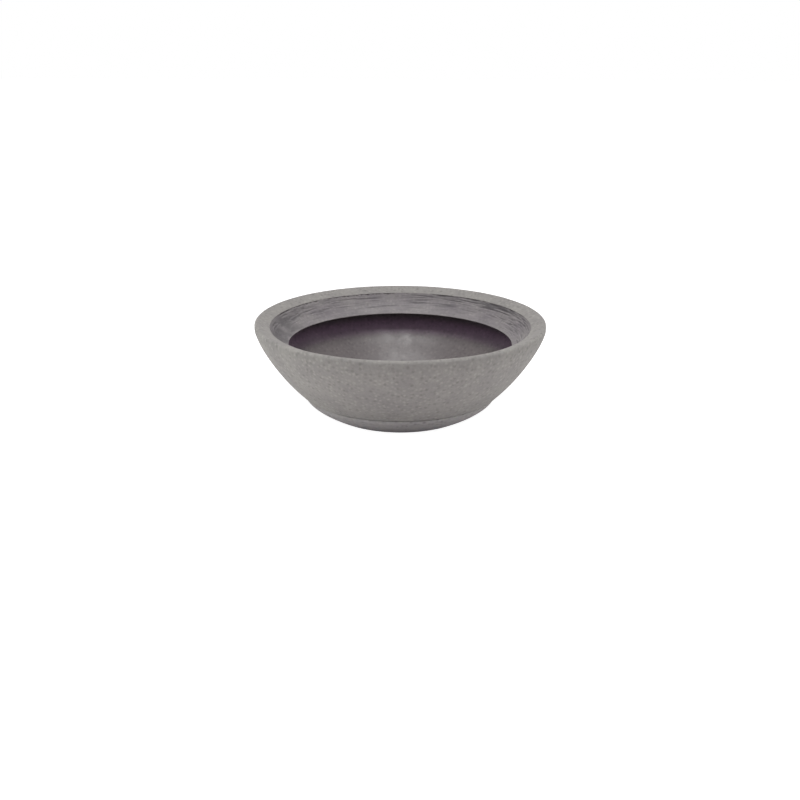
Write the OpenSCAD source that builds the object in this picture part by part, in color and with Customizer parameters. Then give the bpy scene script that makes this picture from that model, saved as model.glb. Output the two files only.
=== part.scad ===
// A low round flower pot of moulded plastic, standing in its own drip saucer.
// The origin is on the pot's axis, at the level of the floor.
// Every round shape is an outline of [distance from the axis, height], turned about the axis.

/* [Pot] */
// Width of the pot across its rim
rim_d = 400; // [380:5:440]
// Height from the floor to the top of the rim, with the pot in its saucer
pot_h = 132; // [124:1:150]
// Thickness of the pot's moulded wall and floor
wall_t = 4; // [3:0.25:5]
// Height of the upright stretch at the top of the wall, measured down from the rim
upright_h = 8; // [7:0.5:12]
// Height of the seam, where the wall steps in to sit in the saucer
seam_h = 31.6; // [30:0.4:40]
// Width of the wall at the seam
seam_d = 273.6; // [270:0.4:290]
// Lean of the wall from upright at the seam, in degrees
seam_lean = 47.5; // [40:0.5:52]
// Radius of the wall's lower corner at the seam
seam_round = 1.2; // [0.6:0.2:2]
// Radius of the hollow corner where the seam turns down into the saucer
seat_round = 2.8; // [1:0.2:3.6]

/* [Folded rim] */
// Width of the rim's top, from its outer to its inner edge
rim_w = 20.4; // [18:0.2:26]
// Fall of the rim's top towards the middle, in degrees
rim_tilt = 22; // [10:1:26]
// Radius of the rim's outer corner
rim_round = 4; // [2.5:0.5:7]
// Radius of the rim's inner corner
lip_round = 2.5; // [1.5:0.5:4]
// Thickness of the band that folds down inside the rim
band_t = 3.5; // [2.5:0.25:4]
// Depth of the band's cut lower edge below the top of the rim
band_depth = 33; // [28:1:40]
// Distance that the band reaches inward from the rim's inner edge
band_reach = 25.4; // [20:0.2:30]
// Lean of the band from upright at its top, in degrees
band_top_lean = 28; // [20:1:40]
// Lean of the band from upright at its cut edge, in degrees
band_edge_lean = 62; // [50:1:68]
// Height of the small upright face at the band's cut edge
edge_land = 0.8; // [0.4:0.2:1.6]

/* [Drip saucer] */
// Width of the saucer across its rim
saucer_d = 266; // [260:0.2:268]
// Height of the shadow gap between the saucer's rim and the seam of the pot
shadow_gap = 1.8; // [1.4:0.2:6]
// Width of the flat ring that the saucer stands on
foot_d = 187; // [177:2:201]
// Lean of the saucer's side from upright where it meets the floor, in degrees
foot_lean = 73; // [66:1:78]
// Thickness of the saucer's shell
saucer_t = 3; // [2.5:0.25:4]
// Width of the stand ring's flat face
stand_w = 12; // [8:1:20]
// Depth of the recess inside the stand ring
recess_h = 1.5; // [1:0.25:2.5]
// Clearance all round between the pot and the inside of the saucer
nest_gap = 1; // [0.8:0.1:2]
// Number of ribs that carry the pot in the saucer
rib_count = 8; // [6:2:8]
// Thickness of a rib
rib_t = 5; // [3:0.5:6]
// Height of a rib above the saucer's floor, which leaves room for water
rib_h = 6; // [5:0.5:8]
// Distance from the axis to the middle of a rib's rounded inner end
rib_start = 72; // [68:1:84]

/* [Drain holes and plugs] */
// Diameter of a drain hole through the pot's floor
drain_d = 16; // [12:0.5:18]
// Diameter of the circle that the drain holes lie on
drain_ring_d = 110; // [90:2:124]
// Width of the shallow pocket sunk round each drain hole
pocket_d = 27; // [24:0.5:30]
// Depth of that pocket
pocket_h = 1.2; // [0.6:0.2:1.6]
// Clearance between a plug and its hole, on the radius
plug_play = 0.05; // [0.02:0.01:0.1]
// Clearance between a plug's head and the edge of its pocket, on the radius
head_play = 1; // [0.5:0.25:1.5]
// Thickness of a plug's head
head_t = 2.5; // [2:0.25:3.5]
// Length of the tapered end below the pot's floor
taper_l = 3.5; // [2:0.5:4.5]
// Amount that the tapered end narrows, on the radius
taper_in = 1.2; // [0.6:0.2:2]
// Width of the knob that a plug is pulled out by
knob_d = 10; // [8:0.5:12]
// Height of the knob above a plug's head
knob_h = 8; // [6:0.5:10]
// Width of the knob's waist
waist_d = 6; // [4:0.5:7]

/* [Hidden] */

pot_colour = "#827e7d";
band_colour = "#7d7879";
saucer_colour = "#767271";
plug_colour = "#2b2a2b";

$fn = 180;
// Steps along a long curve, a short curve and a corner
long_n = 22;
short_n = 12;
round_n = 6;
// Lengths of the curves' end handles, as shares of the distance between the ends
wall_top_pull = 0.08;
wall_seam_pull = 0.5;
band_pull = 0.34;
crown_band_pull = 0.12;
crown_wall_pull = 0.4;
saucer_top_pull = 0.18;
saucer_foot_pull = 0.17;
step_pull = 0.35;
// Lean of the pot's inner face where it passes over the step at the seam
step_lean = 46;
// Height above the seam where the inner face starts to thicken, as a number of wall thicknesses
step_rise = 9;
// Overlap that makes a rib one with the shell
root = 0.8;
// Excess length of a cutter beyond the surface that it cuts
cut_extra = 1;
plug_count = 4;

rim_r = rim_d / 2;
saucer_r = saucer_d / 2;
saucer_h = seam_h - shadow_gap;
saucer_floor = recess_h + saucer_t;
base_h = saucer_floor + rib_h;
pot_floor = base_h + wall_t;
pocket_floor = pot_floor - pocket_h;

// Direction along an outline that goes down and leans inward by an angle from upright
function down(lean) = [-sin(lean), -cos(lean)];
// Direction square to that, towards the inside of the pot
function inward(lean) = [-cos(lean), sin(lean)];

// Control points of a curve from p to q, with the lean and the handle's share at each end
function curve(p, lean_p, pull_p, q, lean_q, pull_q) =
    let (span = norm(q - p))
    [p, p + span * pull_p * down(lean_p), q - span * pull_q * down(lean_q), q];

function on_curve(c, t) =
    pow(1 - t, 3) * c[0] + 3 * pow(1 - t, 2) * t * c[1]
    + 3 * (1 - t) * t * t * c[2] + pow(t, 3) * c[3];

function along(c, t) =
    pow(1 - t, 2) * (c[1] - c[0]) + 2 * (1 - t) * t * (c[2] - c[1]) + t * t * (c[3] - c[2]);

// Point at distance g from the curve, measured square to it towards the inside
function beside(c, t, g) =
    let (d = along(c, t))
    on_curve(c, t) + g * [d.y, -d.x] / norm(d);

function lean_at(c, t) =
    let (d = along(c, t))
    atan2(-d.x, -d.y);

// Points at distance g along the part of a curve from t = a to t = b
function trace(c, g, a, b, n) = [for (i = [0:n]) beside(c, a + (b - a) * i / n, g)];

// Place on a falling curve, at distance g, that lies at height z
function find_height(c, g, z, lo = 0, hi = 1, tries = 24) =
    let (mid = (lo + hi) / 2)
    tries == 0 ? mid :
    beside(c, mid, g).y > z ? find_height(c, g, z, mid, hi, tries - 1)
                            : find_height(c, g, z, lo, mid, tries - 1);

// Arc about a centre from one angle to another
function arc(centre, r, from, to) =
    [for (i = [0:round_n]) centre + r * [cos(from + (to - from) * i / round_n),
                                         sin(from + (to - from) * i / round_n)]];

// Centre of the arc that rounds the corner at p between faces that look along m and n
function round_centre(p, r, m, n) = p - r * (m + n) / (1 + m * n);

// Same list in the other order
function backwards(list) = [for (i = [len(list) - 1:-1:0]) list[i]];

// Rim: an outer corner, a top that falls inward and a smaller inner corner
rim_centre = [rim_r - rim_round, pot_h - rim_round];
top_face = [-sin(rim_tilt), cos(rim_tilt)];
top_start = rim_centre + rim_round * top_face;
lip = [rim_r - rim_w, top_start.y - (top_start.x - rim_r + rim_w) * tan(rim_tilt)];
lip_centre = round_centre(lip, lip_round, top_face, inward(band_top_lean));
rim_top = concat(
    arc(rim_centre, rim_round, 0, 90 + rim_tilt),
    arc(lip_centre, lip_round, 90 + rim_tilt, 180 - band_top_lean));

// Band: folds down inside the rim, from the rim's inner corner to an edge that is cut level
band_top = lip_centre + lip_round * inward(band_top_lean);
edge = [lip.x - band_reach, pot_h - band_depth];
band = curve(band_top, band_top_lean, band_pull, edge + [0, edge_land], band_edge_lean, band_pull);
band_face = trace(band, 0, 0, 1, long_n);
band_back = trace(band, -band_t, 0, find_height(band, -band_t, edge.y), long_n);
band_outline = concat(band_face, [edge], backwards(band_back));

// Outer wall, from the upright stretch under the rim to the seam
wall_top = [rim_r, pot_h - upright_h];
seam = [seam_d / 2, seam_h];
wall = curve(wall_top, 0, wall_top_pull, seam, seam_lean, wall_seam_pull);
seam_centre = round_centre(seam, seam_round, -inward(seam_lean), [0, -1]);
wall_end = find_height(wall, 0, seam_centre.y - seam_round * sin(seam_lean));

// Hollow of the rim: a rounded crown from the back of the band over to the wall
inner_top = [rim_r - wall_t, pot_h - upright_h];
crown_span = norm(inner_top - band_back[0]);
crown = [band_back[0],
         band_back[0] - crown_span * crown_band_pull * down(band_top_lean),
         inner_top + [0, crown_span * crown_wall_pull],
         inner_top];

// Saucer's outer side, with a short upright stretch under its rim
saucer_rim_r = saucer_t / 2;
saucer_top = [saucer_r, saucer_h - saucer_rim_r];
side = curve(saucer_top, 0, saucer_top_pull, [foot_d / 2, 0], foot_lean, saucer_foot_pull);

// Pot's lower part, which follows the inside of the saucer at the nesting clearance
nest = saucer_t + nest_gap;
base_end = find_height(side, nest, base_h);
base_r = beside(side, base_end, nest).x;
nest_side = trace(side, nest, 0, base_end, short_n);
nest_round = min(seat_round, shadow_gap);
nest_corner = [saucer_r - nest + nest_round, seam_h - nest_round];

// Pot's inner face: beside the wall, over the step at the seam, then down to the floor
step_start = find_height(wall, wall_t, seam_h + step_rise * wall_t);
step = nest_corner + (nest_round + wall_t) * inward(step_lean);
over_step = curve(beside(wall, step_start, wall_t), lean_at(wall, step_start), step_pull,
                  step, step_lean, step_pull);
to_floor = curve(step, step_lean, step_pull,
                 [base_r - wall_t, pot_floor], 90, step_pull);

bowl_outline = concat(
    rim_top,
    [for (i = [0:short_n - 1]) on_curve(crown, i / short_n)],
    trace(wall, wall_t, 0, step_start, long_n),
    [for (i = [1:short_n]) on_curve(over_step, i / short_n)],
    [for (i = [1:short_n]) on_curve(to_floor, i / short_n)],
    [[0, pot_floor], [0, base_h]],
    backwards(nest_side),
    arc(nest_corner, nest_round, 180, 90),
    arc(seam_centre, seam_round, -90, -seam_lean),
    backwards(trace(wall, 0, 0, wall_end, long_n)));

floor_end = find_height(side, saucer_t, saucer_floor);
saucer_outline = concat(
    arc(saucer_top - [saucer_rim_r, 0], saucer_rim_r, 0, 180),
    trace(side, saucer_t, 0, floor_end, short_n),
    [[0, saucer_floor], [0, recess_h]],
    [[foot_d / 2 - stand_w - recess_h, recess_h], [foot_d / 2 - stand_w, 0]],
    backwards(trace(side, 0, 0, 1, long_n)));

// Space that the ribs may fill, up to just inside the shell
rib_side = saucer_t - root;
rib_space = concat(
    [[0, base_h]],
    trace(side, rib_side, find_height(side, rib_side, base_h),
          find_height(side, rib_side, saucer_floor - root), short_n),
    [[0, saucer_floor - root]]);

// Half of a plug's outline, from the tip of its taper to the top of its knob
shank_r = drain_d / 2 - plug_play;
head_r = pocket_d / 2 - head_play;
head_round = head_t / 2;
head_top = pocket_floor + head_t;
knob_top = head_top + knob_h;
knob_round = knob_d / 4;
knob_side = knob_top - 2 * knob_round;
waist = [[head_r - head_round, head_top], [waist_d / 2, head_top],
         [waist_d / 2, head_top + knob_h / 8], [knob_d / 2, knob_side]];
plug_outline = concat(
    [[0, base_h - taper_l], [shank_r - taper_in, base_h - taper_l], [shank_r, base_h],
     [shank_r, pocket_floor], [head_r, pocket_floor]],
    arc([head_r - head_round, head_top - head_round], head_round, 0, 90),
    [for (i = [1:short_n]) on_curve(waist, i / short_n)],
    arc([knob_d / 2 - knob_round, knob_top - knob_round], knob_round, 0, 90),
    [[0, knob_top]]);

module at_drain(i) {
    rotate([0, 0, 360 * i / plug_count]) translate([drain_ring_d / 2, 0, 0]) children();
}

module rib() {
    translate([rib_start, -rib_t / 2, 0]) cube([saucer_r, rib_t, base_h]);
    translate([rib_start, 0, 0]) cylinder(d = rib_t, h = base_h);
}

module drip_saucer() {
    color(saucer_colour) union() {
        rotate_extrude() polygon(saucer_outline);
        intersection() {
            rotate_extrude() polygon(rib_space);
            union() {
                for (i = [0:rib_count - 1]) rotate([0, 0, 360 * (i + 0.5) / rib_count]) rib();
            }
        }
    }
}

module bowl() {
    color(pot_colour) difference() {
        rotate_extrude() polygon(bowl_outline);
        for (i = [0:plug_count - 1]) at_drain(i) {
            translate([0, 0, base_h - cut_extra]) cylinder(d = drain_d, h = wall_t + 2 * cut_extra);
            translate([0, 0, pocket_floor]) cylinder(d = pocket_d, h = pocket_h + cut_extra);
        }
    }
}

module rim_band() {
    color(band_colour) rotate_extrude() polygon(band_outline);
}

module drain_plug(i) {
    color(plug_colour) at_drain(i) rotate_extrude() polygon(plug_outline);
}

drip_saucer();
bowl();
rim_band();
drain_plug(0);  // drain_plug_1
drain_plug(1);  // drain_plug_2
drain_plug(2);  // drain_plug_3
drain_plug(3);  // drain_plug_4
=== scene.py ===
"""Dresses the low round flower pot: folded shell, scored inner band, drip saucer and drain plugs."""

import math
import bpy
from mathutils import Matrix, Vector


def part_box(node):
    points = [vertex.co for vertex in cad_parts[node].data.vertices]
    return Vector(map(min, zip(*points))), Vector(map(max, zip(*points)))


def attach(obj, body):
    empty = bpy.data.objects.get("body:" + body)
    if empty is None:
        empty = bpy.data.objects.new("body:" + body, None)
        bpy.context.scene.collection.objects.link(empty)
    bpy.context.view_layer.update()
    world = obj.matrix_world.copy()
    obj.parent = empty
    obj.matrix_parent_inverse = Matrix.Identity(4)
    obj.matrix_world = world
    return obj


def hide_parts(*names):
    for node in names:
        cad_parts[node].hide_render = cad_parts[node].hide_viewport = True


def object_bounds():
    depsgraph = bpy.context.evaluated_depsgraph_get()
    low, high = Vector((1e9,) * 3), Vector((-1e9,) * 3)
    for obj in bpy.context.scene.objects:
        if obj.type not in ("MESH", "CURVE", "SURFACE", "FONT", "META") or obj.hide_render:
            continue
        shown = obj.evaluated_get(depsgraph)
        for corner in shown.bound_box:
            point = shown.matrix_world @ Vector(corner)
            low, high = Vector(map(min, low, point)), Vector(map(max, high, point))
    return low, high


bl_info = {
    "name": "Stone-grey flower pot",
    "version": (1, 0, 0),
    "blender": (4, 5, 0),
    "location": "3D View > Sidebar > Flower Pot",
    "description": "Builds the pot's shell, inner band, drip saucer and drain plugs around the fixed frame",
    "category": "Add Mesh",
}

import bpy
import numpy as np
from mathutils import Matrix, Vector, geometry

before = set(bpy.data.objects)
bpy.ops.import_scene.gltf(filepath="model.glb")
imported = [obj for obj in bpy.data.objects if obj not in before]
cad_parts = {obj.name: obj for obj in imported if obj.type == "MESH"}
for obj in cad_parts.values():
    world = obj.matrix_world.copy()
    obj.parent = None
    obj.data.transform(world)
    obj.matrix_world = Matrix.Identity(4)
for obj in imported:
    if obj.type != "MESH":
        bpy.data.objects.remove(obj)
CAD_LOW, CAD_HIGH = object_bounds()
SAUCER_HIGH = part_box("drip_saucer")[1]
PLUG_LOW, PLUG_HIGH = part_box("drain_plug_1")
PLUGS = 4

# Outlines are written in millimetres as [distance from the axis, height] and turned about the axis.
MM = 0.001
RIM_R = CAD_HIGH.x / MM
POT_H = round(CAD_HIGH.z / MM, 1)
SAUCER_R = SAUCER_HIGH.x / MM
SAUCER_H = SAUCER_HIGH.z / MM

# Steps around the pot and its saucer, the band, a plug and a drain hole
SEGMENTS, BAND_SEGMENTS, PLUG_SEGMENTS, HOLE_SEGMENTS = 480, 960, 96, 72


def down(lean):
    """Direction along an outline that goes down and leans inward by an angle from upright."""
    a = math.radians(lean)
    return np.array([-math.sin(a), -math.cos(a)])


def inward(lean):
    """Direction square to that, towards the inside of the pot."""
    a = math.radians(lean)
    return np.array([-math.cos(a), math.sin(a)])


def arc(centre, radius, start, end, step):
    """Points on an arc from one angle to another in degrees, about step millimetres apart."""
    n = max(2, math.ceil(abs(math.radians(end - start)) * radius / step))
    a = np.radians(np.linspace(start, end, n + 1))
    return np.asarray(centre) + radius * np.column_stack([np.cos(a), np.sin(a)])


def line(start, end, step):
    """Points on a straight line, about step millimetres apart."""
    start, end = np.asarray(start, float), np.asarray(end, float)
    n = max(1, math.ceil(np.linalg.norm(end - start) / step))
    return start + (end - start) * np.linspace(0, 1, n + 1)[:, None]


def cubic(points, t):
    """Points on the smooth stretch from the first to the last of four points."""
    a, b, c, d = points
    u = 1 - t
    return u**3 * a + 3 * u * u * t * b + 3 * u * t * t * c + t**3 * d


def round_centre(corner, radius, m, n):
    """Centre of the arc that rounds a corner between faces that look along m and n."""
    return corner - radius * (m + n) / (1 + m @ n)


class Curve:
    """A smooth stretch of an outline that leaves its start and reaches its end at given leans.

    A lean is an angle inward from upright in degrees, and a pull is how far the curve keeps to it, as
    a share of the distance between the ends.
    """

    def __init__(self, start, start_lean, start_pull, end, end_lean, end_pull):
        span = np.linalg.norm(np.asarray(end) - start)
        self.points = np.array([start, start + span * start_pull * down(start_lean),
                                end - span * end_pull * down(end_lean), end])

    def way(self, t):
        """Direction of the curve, of no fixed length."""
        a, b, c, d = self.points
        u = 1 - t
        return u * u * (b - a) + 2 * u * t * (c - b) + t * t * (d - c)

    def beside(self, t, gap=0.0):
        """Points at a distance from the curve, measured square to it towards the inside."""
        t = np.atleast_1d(t)[:, None]
        way = self.way(t)
        way /= np.linalg.norm(way, axis=1)[:, None]
        return cubic(self.points, t) + gap * np.column_stack([way[:, 1], -way[:, 0]])

    def lean(self, t):
        """Lean of the curve from upright, in degrees."""
        way = self.way(t)
        return math.degrees(math.atan2(-way[0], -way[1]))

    def at_height(self, z, gap=0.0):
        """Place on the falling curve where it is at height z."""
        low, high = 0.0, 1.0
        for _ in range(30):
            middle = (low + high) / 2
            low, high = (middle, high) if self.beside(middle, gap)[0, 1] > z else (low, middle)
        return low

    def trace(self, step, gap=0.0, end=1.0):
        """Points from the curve's start to a place on it, about step millimetres apart."""
        t = np.linspace(0, end, 241)
        fine = self.beside(t, gap)
        run = np.r_[0, np.cumsum(np.linalg.norm(np.diff(fine, axis=0), axis=1))]
        n = max(2, math.ceil(run[-1] / step))
        return self.beside(np.interp(np.linspace(0, run[-1], n + 1), run, t), gap)


class PotOutline:
    """The pot's sizes in millimetres and the curves that they give, as the frame's solids have them."""

    # The wall, the seam where it steps in to sit in the saucer, and the same step on its inner face
    wall_t, upright_h, wall_pulls = 4.0, 8.0, (0.08, 0.5)
    seam_h, seam_r, seam_lean = 31.6, 136.8, 47.5
    seam_round, seat_round = 1.2, 2.8
    step_rise, step_lean, ease = 36.0, 46.0, 0.35
    # The folded rim, and the top of the hollow under it
    rim_w, rim_tilt, rim_round, lip_round = 20.4, 22.0, 4.0, 2.5
    crown_pulls = 0.12, 0.4
    # The band inside the rim
    band_t, band_depth, band_reach = 3.5, 33.0, 25.4
    band_top_lean, band_edge_lean, edge_land, band_pull = 28.0, 62.0, 0.8, 0.34
    # The saucer with its stand ring and the ribs that carry the pot
    foot_r, foot_lean, saucer_t, side_pulls = 93.5, 73.0, 3.0, (0.18, 0.17)
    stand_w, recess_h, nest_gap = 12.0, 1.5, 1.0
    rib_t, rib_h, rib_start, ribs = 5.0, 6.0, 72.0, 8
    # The drain holes in their pockets, and the plugs
    drain_r, pocket_r, pocket_h = 8.0, 13.5, 1.2
    plug_play, head_t, taper_in = 0.05, 2.5, 1.2
    knob_r, knob_h, waist_r = 5.0, 8.0, 3.0

    def __init__(self):
        self.seat_round = min(self.seat_round, self.seam_h - SAUCER_H)
        self.saucer_floor = self.recess_h + self.saucer_t
        self.base_h = self.saucer_floor + self.rib_h
        self.pot_floor = self.base_h + self.wall_t
        self.pocket_floor = self.pot_floor - self.pocket_h
        self.drain_ring_r = (PLUG_LOW.x + PLUG_HIGH.x) / 2 / MM
        self.head_r = (PLUG_HIGH.x - PLUG_LOW.x) / 2 / MM

        tilt = math.radians(self.rim_tilt)
        self.rim_centre = np.array([RIM_R - self.rim_round, POT_H - self.rim_round])
        top_face = np.array([-math.sin(tilt), math.cos(tilt)])
        top_start = self.rim_centre + self.rim_round * top_face
        lip_r = RIM_R - self.rim_w
        self.lip = np.array([lip_r, top_start[1] - (top_start[0] - lip_r) * math.tan(tilt)])
        self.lip_centre = round_centre(self.lip, self.lip_round, top_face, inward(self.band_top_lean))

        self.band_top = self.lip_centre + self.lip_round * inward(self.band_top_lean)
        self.edge = np.array([lip_r - self.band_reach, POT_H - self.band_depth])
        self.band = Curve(self.band_top, self.band_top_lean, self.band_pull,
                          self.edge + [0, self.edge_land], self.band_edge_lean, self.band_pull)
        self.band_back = self.band.beside(0.0, -self.band_t)[0]
        self.wall = Curve(np.array([RIM_R, POT_H - self.upright_h]), 0.0, self.wall_pulls[0],
                          np.array([self.seam_r, self.seam_h]), self.seam_lean, self.wall_pulls[1])
        self.side = Curve(np.array([SAUCER_R, SAUCER_H - self.saucer_t / 2]), 0.0, self.side_pulls[0],
                          np.array([self.foot_r, 0.0]), self.foot_lean, self.side_pulls[1])


POT = PotOutline()


# Random relief adds up waves: how many, their rates as shares of the one that the size gives, and the
# sum that counts as 1, in roots of their number
WAVES, WAVE_RATES, WAVE_PEAK = 28, (0.6, 1.5), 1.6


def ripple(points, size, seed):
    """Smooth random relief from -1 to 1 whose swells are about size millimetres across."""
    rng = np.random.default_rng(seed)
    ways = rng.normal(size=(WAVES, 3))
    ways /= np.linalg.norm(ways, axis=1)[:, None]
    ways *= (math.pi / size) * rng.uniform(*WAVE_RATES, (WAVES, 1))
    shift = rng.uniform(0, 2 * math.pi, WAVES)
    total = np.zeros(points.shape[:-1])
    for way, start in zip(ways, shift):
        total += np.sin(points @ way + start)
    return np.clip(total / math.sqrt(WAVES) / WAVE_PEAK, -1, 1)


# Edges that turn by more degrees than this stay sharp.
SHARP = 38.0


class MeshParts:
    """Gathers points and faces in millimetres and makes one smooth-shaded object of them."""

    def __init__(self):
        self.points, self.faces, self.values = [], [], {}
        self.count = 0

    def add_points(self, points, **values):
        """Adds points with values for attributes, which are 0 elsewhere. Returns the points' numbers."""
        points = np.asarray(points, float)
        shape, first = points.shape[:-1], self.count
        self.points.append(points.reshape(-1, 3))
        self.count += len(self.points[-1])
        for name in sorted({*values, *self.values}):
            known = self.values.setdefault(name, [np.zeros(first)])
            known.append(np.broadcast_to(values.get(name, 0.0), shape).astype(float).ravel())
        return np.arange(first, self.count).reshape(shape)

    def add_sheet(self, index):
        """Quads between the neighbouring rows and columns of a sheet of points."""
        quads = np.stack([index[:-1, :-1], index[1:, :-1], index[1:, 1:], index[:-1, 1:]], axis=-1)
        self.faces.extend(quads.reshape(-1, 4).tolist())

    def add_grid(self, index, closed=False):
        """A sheet [around, along] that meets itself around the axis, and along as well if closed."""
        index = np.vstack([index, index[:1]])
        self.add_sheet(np.column_stack([index, index[:, :1]]) if closed else index)

    def add_strip(self, ring_a, ring_b):
        """Quads between two rings of the same length."""
        self.add_grid(np.column_stack([ring_a, ring_b]))

    def make(self, name):
        """The object, smooth but for its sharp edges."""
        mesh = bpy.data.meshes.new(name)
        mesh.from_pydata((np.vstack(self.points) * MM).tolist(), [], self.faces)
        for key, parts in self.values.items():
            layer = mesh.attributes.new(key, "FLOAT", "POINT")
            layer.data.foreach_set("value", np.concatenate(parts).astype(np.float32))
        mesh.validate()
        mesh.shade_smooth()
        mesh.set_sharp_from_angle(angle=math.radians(SHARP))
        piece = bpy.data.objects.new(name, mesh)
        bpy.context.scene.collection.objects.link(piece)
        return piece


def turn(outline, segments=SEGMENTS, relief=None, normals=None):
    """Points [around, along, xyz] of an outline turned about the axis, with relief along its normals."""
    angle = np.arange(segments) * 2 * math.pi / segments
    r = np.broadcast_to(outline[:, 0], (segments, len(outline)))
    z = np.broadcast_to(outline[:, 1], (segments, len(outline)))
    if relief is not None:
        r = r + relief * normals[:, 0]
        z = z + relief * normals[:, 1]
    return np.stack([r * np.cos(angle)[:, None], r * np.sin(angle)[:, None], z], axis=-1)


def outline_normals(outline, closed=False):
    """Outward normals of an outline whose solid lies on its left."""
    way = np.roll(outline, -1, axis=0) - np.roll(outline, 1, axis=0)
    if not closed:
        way[0], way[-1] = outline[1] - outline[0], outline[-1] - outline[-2]
    way /= np.linalg.norm(way, axis=1)[:, None]
    return np.column_stack([way[:, 1], -way[:, 0]])


def join(*stretches):
    """One outline from pairs of points and their share of relief, each point once, and its shares."""
    points, shares = [], []
    for stretch, share in stretches:
        share = np.broadcast_to(np.asarray(share, float), len(stretch))
        if points and np.linalg.norm(points[-1][-1] - stretch[0]) < 1e-6:
            stretch, share = stretch[1:], share[1:]
        points.append(stretch)
        shares.append(share)
    return np.vstack(points), np.concatenate(shares)


def join_plain(*stretches):
    """One outline from stretches of points without relief."""
    return join(*((stretch, 0.0) for stretch in stretches))[0]


def fade(start, end, count):
    """Values that pass smoothly from start to end."""
    t = np.linspace(0, 1, count)
    return start + (end - start) * t * t * (3 - 2 * t)


def faded(count, first, last=0, end=0.0):
    """Shares of 1 that rise from 0 over the first points and fall to end over the last."""
    return np.r_[fade(0.0, 1.0, first), np.ones(count - first - last), fade(1.0, end, last)]


# Millimetres between the points inside a level disc
DISC_SPACING = 8.0


def fill_disc(parts, ring, z, face_up, hole_r=0.0, **values):
    """Fills a level ring of points with triangles, around holes at the drains if their radius is given.

    Returns the holes' rings.
    """
    everything = np.vstack(parts.points)
    outer = everything[ring][:, :2]
    reach = np.linalg.norm(outer, axis=1).min()
    centres = drain_places() if hole_r else []
    inner, rings, first = [outer], [], len(outer)
    a = np.arange(HOLE_SEGMENTS) * 2 * math.pi / HOLE_SEGMENTS
    for x, y in centres:
        inner.append(np.column_stack([x + hole_r * np.cos(a), y + hole_r * np.sin(a)]))
        rings.append(np.arange(first, first + HOLE_SEGMENTS))
        first += HOLE_SEGMENTS
    for r in np.arange(DISC_SPACING, reach - DISC_SPACING / 2, DISC_SPACING):
        count = max(6, round(2 * math.pi * r / DISC_SPACING))
        a = np.arange(count) / count * 2 * math.pi
        level = np.column_stack([r * np.cos(a), r * np.sin(a)])
        for centre in centres:
            level = level[np.hypot(*(level - centre).T) > hole_r + DISC_SPACING / 4]
        inner.append(level)
    flat = np.vstack(inner)
    loops = [np.arange(len(outer)), *rings]
    edges = [(int(a), int(b)) for loop in loops for a, b in zip(loop, np.roll(loop, -1))]
    found = geometry.delaunay_2d_cdt([Vector(p) for p in flat], edges, [], 0, 1e-6)
    source = [known[0] for known in found[3]]
    new = flat[len(outer):]
    added = parts.add_points(np.column_stack([new, np.full(len(new), z)]), **values)
    index = np.concatenate([ring, added])
    hole_reach = hole_r * math.cos(math.pi / HOLE_SEGMENTS)
    for face in found[2]:
        corners = [source[v] for v in face]
        middle = flat[corners].mean(axis=0)
        if any(np.hypot(*(middle - centre)) < hole_reach for centre in centres):
            continue
        a, b, c = flat[corners[:3]]
        turns_left = np.cross(b - a, c - a) > 0
        order = corners if turns_left == face_up else corners[::-1]
        parts.faces.append([int(index[v]) for v in order])
    return [index[r] for r in rings]


def drain_places():
    """Centres of the drain holes in millimetres."""
    turns = np.arange(PLUGS) * 2 * math.pi / PLUGS
    return [(POT.drain_ring_r * math.cos(a), POT.drain_ring_r * math.sin(a)) for a in turns]


# The pot's floor and base are filled with triangles within this distance of the axis.
PIERCED_R = 78.0

# How far the wall's soft swells and its dimples go to either side of the middle, as shares of the swell
# depth, and the dimples' size in millimetres
SWELL_SHARE, DIMPLE_SHARE, DIMPLE_SIZE = 0.36, 0.14, 9.0

# Shares of the relief that are left where the wall turns upright and where the rim's round edge starts
UPRIGHT_SHARE, EDGE_SHARE = 0.3, 0.15

# Heights in millimetres on the inner wall, up from its open part to the hollow under the fold, and how
# far the painted shade tone, lighter and more violet, covers the plastic at each
FOLD_SHADE_HEIGHTS, FOLD_SHADE_SHARES = (63.0, 75.0, 82.0, 91.0), (0.0, 1.0, 1.0, 0.0)


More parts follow.
